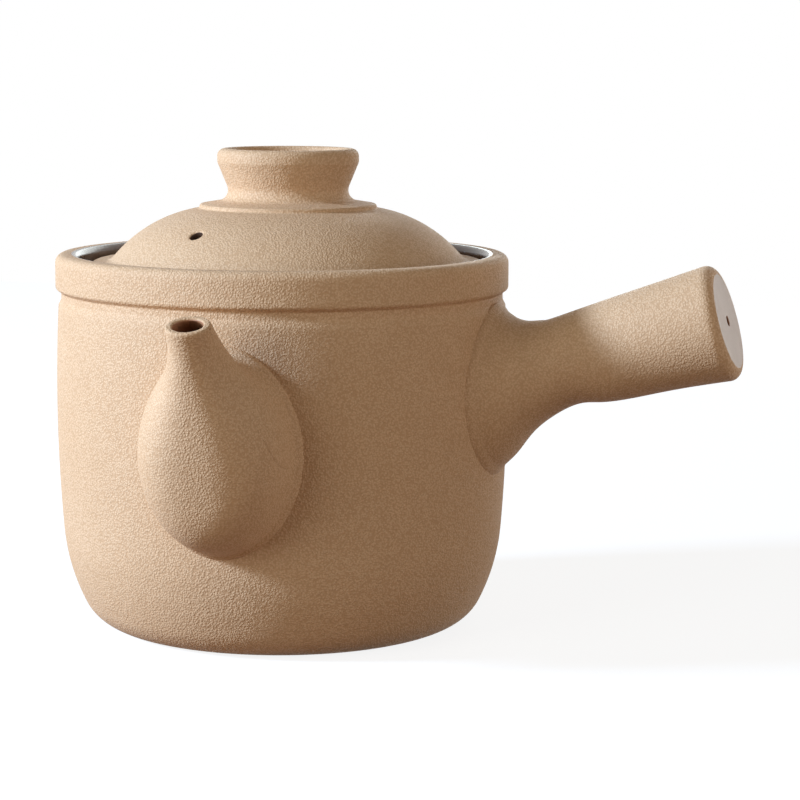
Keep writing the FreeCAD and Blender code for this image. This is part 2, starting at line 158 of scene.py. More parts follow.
# ---- the handle ----
HANDLE_ROOT_HEIGHT = 103.0
HANDLE_TILT = 16.0
HANDLE_ROOT_RINGS = (
    (-10.0, -7.3, 0.0, 32.5, 38.5),
    (-1.0, -4.6, 0.0, 27.7, 33.1),
    (7.0, -3.2, 0.0, 23.5, 26.9),
    (16.1, 2.3, 0.0, 19.2, 21.2),
)
HANDLE_LENGTH = 94.0
HANDLE_NECK_RADIUS = 17.7
HANDLE_NECK_PLACE = 25.0
HANDLE_BLEND = 12.0
HANDLE_END_RADIUS = 23.0
HANDLE_END_ROUND = 4.2
HANDLE_WALL = 4.5
HANDLE_VENT_RADIUS = 2.0
HANDLE_VENT_FLARE = 0.2        # how much wider the vent's mouth is
HANDLE_VENT_EDGE = 0.1         # the vent's end rings lie this far inside the end wall
HANDLE_VENT_NECK = 0.3         # the flare ends this far in from the end's face
HANDLE_END_STEP = 10           # degrees from ring to ring round the grip's end
HANDLE_DISC_EDGE = 0.25        # the flat end's first ring lies this far inside its edge
HANDLE_DISC_DISH = 0.02        # and each ring this much deeper than the one before
HANDLE_ROOT_DROP = 4           # the root's outline on the wall is centred this far below the handle's start
HANDLE_RING_COUNT = 84
HANDLE_INNER_RING_COUNT = 44
HANDLE_SMOOTH_BELOW = 30

ROOT_EDGE = 2.2                # spout and handle end on the wall in a small rounded edge, this high
ROOT_EDGE_WIDTH = 1.1
ROOT_DEPTH = 1.6               # the joined pieces end this far inside the wall's surface
ROOT_RINGS = 26                # rings of the skin that are fitted to the wall, and of the inside
ROOT_INNER_RINGS = 14
ROOT_CROWDING = 1.7            # over 1, the fitted rings lie closer together near the wall


# ---- small helpers ----
def deselect_all():
    for obj in bpy.context.selected_objects:
        obj.select_set(False)


def pick(obj):
    deselect_all()
    bpy.context.view_layer.objects.active = obj
    obj.select_set(True)


def outline_arc(centre, radius, first, last, step=4.0):
    """Points of an arc of the outline. An angle is the surface's slope: 0 level and 90 upright."""
    count = max(2, round(abs(last - first) / step))
    points = []
    for i in range(count + 1):
        turn = math.radians(first + (last - first) * i / count)
        points.append((centre[0] + radius * math.sin(turn), centre[1] - radius * math.cos(turn)))
    return points


def rounded(corners, facets=6):
    """Outline points through (radius, height, rounding) corners."""
    points = [corners[0][:2]]
    for before, here, after in zip(corners, corners[1:], corners[2:]):
        corner = Vector(here[:2])
        if here[2] == 0:
            points.append(here[:2])
            continue
        back = (Vector(before[:2]) - corner).normalized()
        on = (Vector(after[:2]) - corner).normalized()
        half = math.acos(max(-1.0, min(1.0, back.dot(on)))) / 2
        reach = here[2] / math.tan(half)
        start = corner + back * reach
        centre = corner + (back + on).normalized() * (here[2] / math.sin(half))
        first, last = start - centre, corner + on * reach - centre
        sweep = math.atan2(first.x * last.y - first.y * last.x, first.dot(last))
        for i in range(facets + 1):
            turn = sweep * i / facets
            points.append((
                centre.x + first.x * math.cos(turn) - first.y * math.sin(turn),
                centre.y + first.x * math.sin(turn) + first.y * math.cos(turn),
            ))
    points.append(corners[-1][:2])
    return points


def filled_in(outline, longest=3.0):
    """The outline with its long straight runs divided, so that the facets stay near square."""
    points = [outline[0]]
    for here, there in zip(outline, outline[1:]):
        parts = max(1, math.ceil(math.dist(here, there) / longest))
        for i in range(1, parts + 1):
            share = i / parts
            points.append((here[0] + (there[0] - here[0]) * share, here[1] + (there[1] - here[1]) * share))
    return points


def begin_piece(name):
    """An empty mesh in edit mode, for parts to be added to."""
    deselect_all()
    bpy.ops.mesh.primitive_circle_add(vertices=3, radius=MM)
    piece = bpy.context.object
    piece.name = name
    bpy.ops.object.mode_set(mode="EDIT")
    bpy.ops.mesh.delete(type="VERT")
    return piece


def turned_piece(name, outline, drift=0.0, smooth_below=SMOOTH_BELOW):
    """Draws the outline point by point and spins it round the axis."""
    deselect_all()
    bpy.ops.mesh.primitive_plane_add(size=MM)
    piece = bpy.context.object
    piece.name = name
    bpy.ops.object.mode_set(mode="EDIT")
    bpy.ops.mesh.merge(type="CENTER")
    bpy.ops.transform.translate(value=(outline[0][0] * MM, 0, outline[0][1] * MM))
    for here, there in zip(outline, outline[1:]):
        step = ((there[0] - here[0]) * MM, 0, (there[1] - here[1]) * MM)
        bpy.ops.mesh.extrude_vertices_move(TRANSFORM_OT_translate={"value": step})
    bpy.ops.mesh.select_all(action="SELECT")
    bpy.ops.mesh.spin(steps=TURN_STEPS, angle=math.tau, center=(0, 0, 0), axis=(0, 0, 1))
    bpy.ops.mesh.select_all(action="SELECT")
    bpy.ops.mesh.remove_doubles(threshold=MERGE_DISTANCE)
    bpy.ops.mesh.normals_make_consistent(inside=False)
    bpy.ops.transform.translate(value=(drift * MM, 0, 0))
    bpy.ops.object.mode_set(mode="OBJECT")
    bpy.ops.object.shade_smooth_by_angle(angle=math.radians(smooth_below))
    return piece


def cut_away(piece, cutter):
    """Takes the cutter's shape out of the piece and throws the cutter away."""
    pick(piece)
    cut = piece.modifiers.new("cut", "BOOLEAN")
    cut.operation = "DIFFERENCE"
    cut.object = cutter
    bpy.ops.object.modifier_apply(modifier=cut.name)
    bpy.ops.object.shade_smooth_by_angle(angle=math.radians(SMOOTH_BELOW))
    bpy.data.objects.remove(cutter)


def finish_faces(piece, material, chosen):
    """Gives a material to the faces whose middle, in millimetres, passes the test."""
    piece.data.materials.append(material)
    index = len(piece.data.materials) - 1
    for face in piece.data.polygons:
        if chosen(face.center / MM, face.normal):
            face.material_index = index


def finish_from_ring(piece, material, ring):
    """Gives a material to the faces of a ringed piece from the given ring to the last."""
    piece.data.materials.append(material)
    index = len(piece.data.materials) - 1
    for face in piece.data.polygons:
        if min(face.vertices) >= ring * RING_POINTS:
            face.material_index = index


def polar(radius, bearing, height):
    turn = math.radians(bearing)
    return Vector((radius * math.cos(turn), radius * math.sin(turn), height))


# ---- outlines ----
def wall_curves():
    """Centres of the three curves of the wall, belly first, from the tangency of each with the next."""
    heel_end, haunch_end = math.radians(HEEL_END_ANGLE), math.radians(HAUNCH_END_ANGLE)
    height = HEEL_CURVE * (1 - math.cos(heel_end))
    height += HAUNCH_CURVE * (math.cos(heel_end) - math.cos(haunch_end))
    height += BELLY_CURVE * math.cos(haunch_end)
    belly = Vector((BELLY_RADIUS - BELLY_CURVE, height))
    haunch = belly + (BELLY_CURVE - HAUNCH_CURVE) * Vector((math.sin(haunch_end), -math.cos(haunch_end)))
    heel = haunch + (HAUNCH_CURVE - HEEL_CURVE) * Vector((math.sin(heel_end), -math.cos(heel_end)))
    return belly, haunch, heel


BELLY_CENTRE, HAUNCH_CENTRE, HEEL_CENTRE = wall_curves()


def belly_radius_at(height, inset=0.0):
    reach = BELLY_CURVE - inset
    return BELLY_CENTRE.x + math.sqrt(reach ** 2 - (height - BELLY_CENTRE.y) ** 2)


def wall_outline(inset, top):
    """From the middle of the floor up the wall, moved inwards by inset."""
    slope_at_top = 90 + math.degrees(math.asin((top - BELLY_CENTRE.y) / (BELLY_CURVE - inset)))
    return [
        (0, inset),
        *outline_arc(HEEL_CENTRE, HEEL_CURVE - inset, 0, HEEL_END_ANGLE),
        *outline_arc(HAUNCH_CENTRE, HAUNCH_CURVE - inset, HEEL_END_ANGLE, HAUNCH_END_ANGLE, step=2.0)[1:],
        *outline_arc(BELLY_CENTRE, BELLY_CURVE - inset, HAUNCH_END_ANGLE, slope_at_top, step=0.3)[1:],
    ]


def rim_outline():
    return rounded([
        (belly_radius_at(WALL_TOP), WALL_TOP, 0),
        (GROOVE_RADIUS, GROOVE_FOOT, GROOVE_FOOT_ROUND),
        (GROOVE_RADIUS, GROOVE_TOP, GROOVE_TOP_ROUND),
        (BAND_RADIUS, BAND_FOOT, BAND_FOOT_ROUND),
        (BAND_RADIUS, RIM_HEIGHT, RIM_OUTSIDE_ROUND),
        (RIM_INSIDE, RIM_HEIGHT, RIM_INSIDE_ROUND),
        (RIM_INSIDE, SHELF_HEIGHT, SMALL_ROUND),
        (SHELF_INSIDE, SHELF_HEIGHT, SMALL_ROUND),
        (SHELF_INSIDE, SHELF_UNDERSIDE, SMALL_ROUND),
        (belly_radius_at(INNER_WALL_TOP, CLAY_WALL), INNER_WALL_TOP, 0),
    ])


def dome_curve():
    return (CROWN_HEIGHT - FLANGE_TOP - DOME_FLANK_RISE) / (1 - math.cos(math.radians(DOME_SLOPE)))


def dome_centre():
    slope = math.radians(DOME_SLOPE)
    run = DOME_FLANK_RISE / math.tan(slope) + dome_curve() * math.sin(slope)
    return Vector((DOME_FOOT_RADIUS - run, CROWN_HEIGHT - dome_curve()))


def dome_point(slope, inset=0.0):
    turn = math.radians(slope)
    return dome_centre() + (dome_curve() - inset) * Vector((math.sin(turn), math.cos(turn)))


def dome_outline(inset):
    shoulder = [tuple(dome_point(DOME_SLOPE * i / DOME_STEPS, inset)) for i in range(DOME_STEPS + 1)]
    return [(0, CROWN_HEIGHT - inset), *shoulder]


def lid_outline():
    outside, inside = dome_point(DOME_SLOPE), dome_point(DOME_SLOPE, DOME_WALL)
    skirt_inside = SKIRT_RADIUS - SKIRT_WALL
    skirt_top = inside.y - (skirt_inside - inside.x) * math.tan(math.radians(DOME_SLOPE))
    edge = rounded([
        (*outside, 0),
        (DOME_FOOT_RADIUS, FLANGE_TOP, DOME_FOOT_ROUND),
        (FLANGE_RADIUS, FLANGE_TOP, LID_EDGE_ROUND),
        (FLANGE_RADIUS, SHELF_HEIGHT, SMALL_ROUND),
        (SKIRT_RADIUS, SHELF_HEIGHT, SMALL_ROUND),
        (SKIRT_RADIUS, SKIRT_FOOT, LID_EDGE_ROUND),
        (skirt_inside, SKIRT_FOOT, LID_EDGE_ROUND),
        (skirt_inside, skirt_top, SMALL_ROUND),
        (*inside, 0),
    ])
    return [*dome_outline(0), *edge[1:], *reversed(dome_outline(DOME_WALL)[:-1])]


def knob_outline():
    """The cupped knob, with its low step smeared into the dome."""
    return rounded([
        (0, CROWN_HEIGHT - KNOB_ROOT_DEPTH, 0),
        (KNOB_FOOT_RADIUS - KNOB_ROOT_INSET, CROWN_HEIGHT - KNOB_ROOT_DEPTH, 0),
        (KNOB_FOOT_RADIUS + KNOB_SMEAR_WIDTH, CROWN_HEIGHT - KNOB_SMEAR_FOOT, 0),
        (KNOB_FOOT_RADIUS, CROWN_HEIGHT - KNOB_SMEAR_TOP, KNOB_SMEAR_ROUND),
        (KNOB_FOOT_RADIUS, KNOB_FOOT_TOP, KNOB_FOOT_ROUND),
        (KNOB_NECK_RADIUS, KNOB_FOOT_TOP + KNOB_FOOT_RISE, KNOB_NECK_ROUND),
        (KNOB_RADIUS, KNOB_TOP - KNOB_LIP_HEIGHT, KNOB_LIP_ROUND),
        (KNOB_RADIUS, KNOB_TOP, KNOB_LIP_ROUND),
        (KNOB_RADIUS - KNOB_LIP_WIDTH, KNOB_TOP, KNOB_CUP_EDGE_ROUND),
        (KNOB_CUP_RADIUS, KNOB_CUP_FLOOR, KNOB_CUP_ROUND),
        (0, KNOB_CUP_FLOOR, 0),
    ], facets=8)


# ---- spout and handle: rings joined one to the next ----
def natural_curve(places, values):
    """The smooth curve through values at the given places, straight at both ends."""
    shaded_gaps = [there - here for here, there in zip(places, places[1:])]
    slopes = [(b - a) / gap for a, b, gap in zip(values, values[1:], shaded_gaps)]
    bend, carry = [0.0] * len(places), [0.0] * len(places)
    for i in range(1, len(places) - 1):
        pivot = 2 * (shaded_gaps[i - 1] + shaded_gaps[i]) - shaded_gaps[i - 1] * carry[i - 1]
        carry[i] = shaded_gaps[i] / pivot
        bend[i] = (6 * (slopes[i] - slopes[i - 1]) - shaded_gaps[i - 1] * bend[i - 1]) / pivot
    for i in range(len(places) - 2, 0, -1):
        bend[i] -= carry[i] * bend[i + 1]

    def at(place):
        i = min(max(bisect.bisect_right(places, place) - 1, 0), len(shaded_gaps) - 1)
        fore = (places[i + 1] - place) / shaded_gaps[i]
        aft = 1 - fore
        lift = (fore ** 3 - fore) * bend[i] + (aft ** 3 - aft) * bend[i + 1]
        return fore * values[i] + aft * values[i + 1] + lift * shaded_gaps[i] ** 2 / 6

    return at


def ring_up(tilt):
    """The direction from the middle of a ring to its top."""
    return Vector((-math.sin(math.radians(tilt)), 0, math.cos(math.radians(tilt))))


def ring_spots(ring):
    """The bottom, side and top of a ring."""
    x, z, tilt, half_width, half_height = ring
    up = ring_up(tilt)
    centre = Vector((x, 0, z))
    return centre - up * half_height, centre + Vector((0, half_width, 0)), centre + up * half_height


def course_places(rings):
    """How far along the course each ring lies."""
    places = [0.0]
    for here, there in zip(rings, rings[1:]):
        steps = [(b - a).length for a, b in zip(ring_spots(here), ring_spots(there))]
        places.append(places[-1] + sum(steps) / len(steps))
    return places


def smooth_rings(rings, count):
    """Evenly spaced rings on smooth curves through the given ones."""
    places = course_places(rings)
    curves = [natural_curve(places, list(values)) for values in zip(*rings)]
    return [tuple(curve(places[-1] * i / (count - 1)) for curve in curves) for i in range(count)]


def draw_strings(piece, rings, numbers, count):
    """Draws each lengthwise string of points straight through the given rings. numbers are the piece's rings
    that lie on this stretch, from its start, out of count even steps."""
    places = course_places(rings)
    vertices = piece.data.vertices
    x, z, _, half_width, half_height = rings[0]
    for j in range(RING_POINTS):
        arm = vertices[numbers[0] * RING_POINTS + j].co / MM - Vector((x, 0, z))
        side, rise = arm.y / half_width, arm.z / half_height
        spots = []
        for centre_x, centre_z, lean, wide, high in rings:
            spots.append(Vector((centre_x, side * wide, centre_z)) + ring_up(lean) * (rise * high))
        curves = [natural_curve(places, list(values)) for values in zip(*spots)]
        for i, number in enumerate(numbers):
            place = places[-1] * i / (count - 1)
            vertices[number * RING_POINTS + j].co = Vector([curve(place) for curve in curves]) * MM


def joined_rings(name, rings):
    """A hollow piece whose skin runs through all the rings and closes from the last to the first."""
    piece = begin_piece(name)
    for x, z, tilt, half_width, half_height in rings:
        bpy.ops.mesh.select_all(action="DESELECT")
        bpy.ops.mesh.primitive_circle_add(
            vertices=RING_POINTS, radius=half_height * MM,
            location=(x * MM, 0, z * MM), rotation=(0, -math.radians(90 + tilt), 0),
        )
        bpy.ops.transform.resize(value=(1, half_width / half_height, 1), center_override=(0, 0, 0))
    for i in range(len(rings)):
        bpy.ops.mesh.select_all(action="DESELECT")
        mesh = bmesh.from_edit_mesh(piece.data)
        mesh.verts.ensure_lookup_table()
        for ring in (i, (i + 1) % len(rings)):
            for vertex in mesh.verts[ring * RING_POINTS:(ring + 1) * RING_POINTS]:
                vertex.select = True
        mesh.select_flush(True)
        bpy.ops.mesh.bridge_edge_loops()
    bpy.ops.mesh.select_all(action="SELECT")
    bpy.ops.mesh.normals_make_consistent(inside=False)
    bpy.ops.object.mode_set(mode="OBJECT")
    return piece


def height_over_wall(point):
    return math.hypot(point.x, point.y) - belly_radius_at(point.z)


def pressed_on_wall(points, middle, edge_width):
    """One string of ring points, from inside the wall outwards, slid so that it starts on the wall's surface
    and leaves it in a small rounded edge."""
    start = next(i for i, point in enumerate(points) if height_over_wall(point) > 0)
    low, high = points[start - 1], points[start]
    share = height_over_wall(low) / (height_over_wall(low) - height_over_wall(high))
    path = [low.lerp(high, share), *points[start:]]
    runs = [0.0]
    for here, there in zip(path, path[1:]):
        runs.append(runs[-1] + (there - here).length)
    slid = []
    for i in range(1, len(points)):
        run = runs[-1] * ((i - 1) / (len(points) - 2)) ** ROOT_CROWDING
        leg = min(max(bisect.bisect_right(runs, run) - 1, 0), len(path) - 2)
        point = path[leg].lerp(path[leg + 1], (run - runs[leg]) / (runs[leg + 1] - runs[leg]))
        height = max(0.0, height_over_wall(point)) / ROOT_EDGE
        if height < 1:
            outwards = Vector((point.x, point.y, 0)).normalized()
            spread = point - middle
            spread = (spread - outwards * spread.dot(outwards)).normalized()
            point = point + spread * (edge_width * math.sqrt(1 - height ** 2))
        slid.append(point)
    root = slid[0] - Vector((slid[0].x, slid[0].y, 0)).normalized() * ROOT_DEPTH
    return [root, *slid]


def press_on_wall(piece, rings, middle, edge_width):
    """Fits the given rings, the innermost first, to the pot's wall."""
    vertices = piece.data.vertices
    for j in range(RING_POINTS):
        string = [ring * RING_POINTS + j for ring in rings]
        moved = pressed_on_wall([vertices[i].co / MM for i in string], middle, edge_width)
        for i, point in zip(string, moved):
            vertices[i].co = point * MM


def rings_on_pot(rings, root_height):
    """Rings that are given from the middle of their root on the wall, placed on the pot."""
    return [
        (BELLY_RADIUS + out, root_height + height, tilt, half_width, half_height)
        for out, height, tilt, half_width, half_height in rings
    ]


def thinned(rings, wall):
    return [
        (x, z, tilt, half_width - wall, half_height - wall)
        for x, z, tilt, half_width, half_height in rings
    ]


def quarter_round(turn):
    """How far a rounding of radius 1 has risen and drawn in, so many degrees round it."""
    return math.sin(math.radians(turn)), 1 - math.cos(math.radians(turn))


def moved_along(ring, along, radius):
    """A round ring a little further along the course of the given one."""
    x, z, tilt = ring[:3]
    turn = math.radians(tilt)
    return x + along * math.cos(turn), z + along * math.sin(turn), tilt, radius, radius


# ---- materials ----
MIX_SHARE, MIX_FIRST, MIX_SECOND = 0, 6, 7     # inputs of a Mix node that mixes colours
MIX_COLOUR = 2                                 # its output


class Recipe:
    """A material and a short way to add nodes to it."""

    def __init__(self, name):
        self.material = bpy.data.materials.new(name)
        self.material.use_nodes = True
        self.tree = self.material.node_tree
        self.shader = self.tree.nodes["Principled BSDF"]
        place = self.add("ShaderNodeTexCoord")
        scale = self.add("ShaderNodeMapping", Vector=place.outputs["Object"])
        scale.inputs["Scale"].default_value = (1 / MM, 1 / MM, 1 / MM)
        self.millimetres = scale.outputs["Vector"]

    def add(self, kind, settings=None, **sockets):
        node = self.tree.nodes.new(kind)
        for key, value in (settings or {}).items():
            setattr(node, key, value)
        for key, value in sockets.items():
            self.feed(node.inputs[key.replace("_", " ")], value)
        return node

    def feed(self, socket, value):
        if isinstance(value, bpy.types.NodeSocket):
            self.tree.links.new(value, socket)
        else:
            socket.default_value = value

    def noise(self, per_mm, detail=2.0, roughness=0.5):
        node = self.add("ShaderNodeTexNoise", Vector=self.millimetres, Scale=per_mm, Detail=detail)
        node.inputs["Roughness"].default_value = roughness
        return node.outputs["Fac"]

    def cells(self, per_mm):
        node = self.add("ShaderNodeTexVoronoi", {"feature": "F1"}, Vector=self.millimetres, Scale=per_mm)
        return node.outputs["Distance"]

    def math(self, operation, first, second):
        node = self.add("ShaderNodeMath", {"operation": operation})
        self.feed(node.inputs[0], first)
        self.feed(node.inputs[1], second)
        return node.outputs["Value"]

    def spread(self, value, low, high, out_low=0.0, out_high=1.0):
        node = self.add("ShaderNodeMapRange", Value=value)
        node.inputs["From Min"].default_value = low
        node.inputs["From Max"].default_value = high
        node.inputs["To Min"].default_value = out_low
        node.inputs["To Max"].default_value = out_high
        return node.outputs["Result"]

    def mix(self, share, first, second):
        node = self.add("ShaderNodeMix", {"data_type": "RGBA"})
        self.feed(node.inputs[MIX_SHARE], share)
        self.feed(node.inputs[MIX_FIRST], first)
        self.feed(node.inputs[MIX_SECOND], second)
        return node.outputs[MIX_COLOUR]

    def bump(self, height, strength, depth_mm, below=None):
        node = self.add("ShaderNodeBump", Height=height, Strength=strength, Distance=depth_mm * MM)
        if below is not None:
            self.feed(node.inputs["Normal"], below)
        return node.outputs["Normal"]


def srgb(red, green, blue):
    """A colour written as it looks on screen, 0 to 255, in the shader's own scale."""
    def linear(value):
        share = value / 255
        return share / 12.92 if share <= 0.04045 else ((share + 0.055) / 1.055) ** 2.4
    return (linear(red), linear(green), linear(blue), 1.0)


def leathery_clay(name, body, pale, dark, grain):
    """Unglazed tan clay, pressed with a fine leathery grain of pebbles about 0.8 mm apart, with painted shade
    darkening the gaps between them.
    """
    clay = Recipe(name)
    stir = clay.add("ShaderNodeTexNoise", Vector=clay.millimetres, Scale=0.8, Detail=1.0)
    drift = clay.add("ShaderNodeVectorMath", {"operation": "SCALE"})
    clay.feed(drift.inputs[0], stir.outputs["Color"])
    drift.inputs["Scale"].default_value = 0.25
    stirred = clay.add("ShaderNodeVectorMath", {"operation": "ADD"})
    clay.feed(stirred.inputs[0], clay.millimetres)
    clay.feed(stirred.inputs[1], drift.outputs["Vector"])
    clay.millimetres = stirred.outputs["Vector"]
    pebbles = clay.spread(clay.cells(1.22), 0.05, 0.75, 1.0, 0.0)
    wrinkles = clay.noise(2.2, detail=1.0, roughness=0.5)
    height = clay.math("ADD", clay.math("MULTIPLY", pebbles, 0.90), clay.math("MULTIPLY", wrinkles, 0.30))
    shaded_gaps = clay.spread(height, 0.28, 0.72, 1.0, 0.0)
    cloud = clay.spread(clay.noise(0.016, detail=3.0), 0.35, 0.65)
    blotch = clay.spread(clay.noise(0.09, detail=4.0, roughness=0.65), 0.3, 0.7)
    specks = clay.spread(clay.noise(2.3, detail=1.0), 0.66, 0.78)
    colour = clay.mix(clay.math("MULTIPLY", cloud, 0.30), body, pale)
    colour = clay.mix(clay.math("MULTIPLY", blotch, 0.10), colour, dark)
    # painted shade: the gaps between the pebbles are darkened towards the deep tan
    colour = clay.mix(clay.math("MULTIPLY", shaded_gaps, 0.45), colour, dark)
    colour = clay.mix(clay.math("MULTIPLY", specks, 0.25), colour, dark)
    shader = clay.shader
    clay.feed(shader.inputs["Base Color"], colour)
    clay.feed(shader.inputs["Roughness"], clay.spread(height, 0.3, 1.0, 0.62, 0.48))
    shader.inputs["Specular IOR Level"].default_value = 0.15
    relief = clay.bump(height, grain, 0.20)
    clay.feed(shader.inputs["Normal"], clay.bump(blotch, 0.25, 0.5, relief))
    return clay.material


def kiln_glaze(name, body, pool):
    """The thin grey-brown glaze inside the pot, glossy where it has run together."""
    glaze = Recipe(name)
    cloud = glaze.spread(glaze.noise(0.05, detail=4.0, roughness=0.6), 0.35, 0.65)
    pinholes = glaze.spread(glaze.cells(0.35), 0.0, 0.10, 1.0, 0.0)
    colour = glaze.mix(cloud, body, pool)
    colour = glaze.mix(glaze.math("MULTIPLY", pinholes, 0.5), colour, pool)
    glaze.feed(glaze.shader.inputs["Base Color"], colour)
    glaze.feed(glaze.shader.inputs["Roughness"], glaze.spread(cloud, 0.0, 1.0, 0.26, 0.17))
    orange_peel = glaze.noise(0.45, detail=2.0)
    glaze.feed(glaze.shader.inputs["Normal"], glaze.bump(orange_peel, 0.4, 0.2))
    return glaze.material


def rubbed_clay(name, body, pale, dark, rough=0.5):
    """Clay rubbed smooth before firing, with faint scratches and a fine tooth."""
    clay = Recipe(name)
    cloud = clay.spread(clay.noise(0.07, detail=4.0, roughness=0.6), 0.35, 0.65)
    tooth = clay.noise(2.4, detail=3.0, roughness=0.6)
    colour = clay.mix(cloud, body, pale)
    colour = clay.mix(clay.spread(tooth, 0.55, 0.75, 0.0, 0.5), colour, dark)
    clay.feed(clay.shader.inputs["Base Color"], colour)
    clay.feed(clay.shader.inputs["Roughness"], clay.spread(tooth, 0.3, 0.7, rough, rough + 0.1))
    clay.shader.inputs["Specular IOR Level"].default_value = 0.5
    clay.feed(clay.shader.inputs["Normal"], clay.bump(tooth, 0.35, 0.12))
    return clay.material


TAN, PALE_TAN, DEEP_TAN = srgb(210, 174, 139), srgb(221, 189, 157), srgb(166, 124, 86)
pot_clay = leathery_clay("leathery_pot_clay", TAN, PALE_TAN, DEEP_TAN, 1.0)
handle_clay = leathery_clay("leathery_handle_clay", TAN, PALE_TAN, DEEP_TAN, 0.9)
lid_clay = leathery_clay("leathery_lid_clay", TAN, PALE_TAN, DEEP_TAN, 0.8)
grip_end = rubbed_clay("grip_end", srgb(180, 158, 145), srgb(190, 169, 157), srgb(164, 140, 126), 0.42)
bare_foot = rubbed_clay("bare_foot", srgb(196, 164, 134), srgb(208, 180, 152), srgb(160, 124, 92))
inner_glaze = kiln_glaze("inner_glaze", srgb(122, 100, 85), srgb(94, 74, 60))
dark_bore = rubbed_clay("dark_bore", srgb(152, 102, 72), srgb(166, 118, 86), srgb(110, 68, 44))
# painted shade: a near-black brown for the steam hole's wall, standing in for the shade deep inside the hole
steam_hole_shade = rubbed_clay("steam_hole_shade", srgb(66, 42, 28), srgb(80, 54, 38), srgb(46, 28, 18))


# ---- the five clay pieces ----
def clay_pot():
    inner = wall_outline(CLAY_WALL, INNER_WALL_TOP)
    outline = [*wall_outline(0, WALL_TOP), *rim_outline()[1:], *reversed(inner[:-1])]
    pot = turned_piece("clay_pot", filled_in(outline))
    cut_away(pot, strainer_drill())
    pot.data.materials.append(pot_clay)
    finish_faces(pot, inner_glaze, is_glazed)
    finish_faces(pot, bare_foot, is_foot)
    return pot


def is_foot(middle, normal):
    return middle.z < BARE_FOOT_TOP and normal.z < LOOKS_DOWN


def is_glazed(middle, normal):
    """Inside the pot, up and over the inner rounding of the rim."""
    if middle.z > INNER_WALL_TOP:
        return math.hypot(middle.x, middle.y) < RIM_INSIDE + GLAZE_OVER_RIM
    looks_inwards = normal.x * middle.x + normal.y * middle.y < 0
    return middle.z > CLAY_WALL / 2 and (normal.z > LOOKS_UP or looks_inwards)


def strainer_drill():
    """Nineteen round bars, where the wall behind the spout is pierced."""
    bars = begin_piece("strainer_drill")
    across = polar(1, SPOUT_BEARING + 90, 0)
    for row in range(-STRAINER_RINGS, STRAINER_RINGS + 1):
        count = 2 * STRAINER_RINGS + 1 - abs(row)
        for place in range(count):
            side = (place - (count - 1) / 2) * STRAINER_PITCH
            height = SPOUT_ROOT_HEIGHT + row * STRAINER_PITCH * math.sqrt(3) / 2
            middle = polar(BELLY_RADIUS - CLAY_WALL / 2, SPOUT_BEARING, height) + across * side
            bpy.ops.mesh.primitive_cylinder_add(
                vertices=24, radius=STRAINER_HOLE_RADIUS * MM, depth=3 * CLAY_WALL * MM, location=middle * MM,
                rotation=(0, math.radians(90), math.radians(SPOUT_BEARING)),
            )
    bpy.ops.object.mode_set(mode="OBJECT")
    return bars


def clay_lid():
    lid = turned_piece("clay_lid", filled_in(lid_outline()), LID_DRIFT)
    place = dome_point(STEAM_HOLE_SLOPE)
    mouth = polar(place.x, STEAM_HOLE_BEARING, place.y) + Vector((LID_DRIFT, 0, 0))
    outward = polar(math.sin(math.radians(STEAM_HOLE_SLOPE)), STEAM_HOLE_BEARING,
                    math.cos(math.radians(STEAM_HOLE_SLOPE)))
    cut_away(lid, steam_drill(mouth, outward))
    lid.data.materials.append(lid_clay)

    def in_hole(middle, normal):
        arm = middle - mouth
        depth = arm.dot(outward)
        return depth < -HOLE_SHADE_DEPTH and (arm - outward * depth).length < STEAM_HOLE_RADIUS + HOLE_SHADE_REACH

    # the steam hole's wall gets the painted shade
    finish_faces(lid, steam_hole_shade, in_hole)
    return lid


def steam_drill(mouth, outward):
    """A round bar with a flared neck, which leaves the hole a softened mouth."""
    neck = [(STEAM_HOLE_RADIUS + wider, height) for wider, height in STEAM_HOLE_MOUTH]
    drill = turned_piece("steam_drill", [
        (0, -STEAM_DRILL_BELOW),
        (STEAM_HOLE_RADIUS, -STEAM_DRILL_BELOW),
        *neck,
        (neck[-1][0], STEAM_DRILL_ABOVE),
        (0, STEAM_DRILL_ABOVE),
    ])
    pick(drill)
    drill.rotation_euler = outward.to_track_quat("Z", "Y").to_euler()
    drill.location = mouth * MM
    bpy.ops.object.transform_apply(location=True, rotation=True, scale=False)
    return drill


def clay_knob():
    outline = filled_in(knob_outline(), KNOB_LONGEST_FACET)
    knob = turned_piece("clay_knob", outline, LID_DRIFT, KNOB_SMOOTH_BELOW)
    knob.data.materials.append(lid_clay)
    return knob


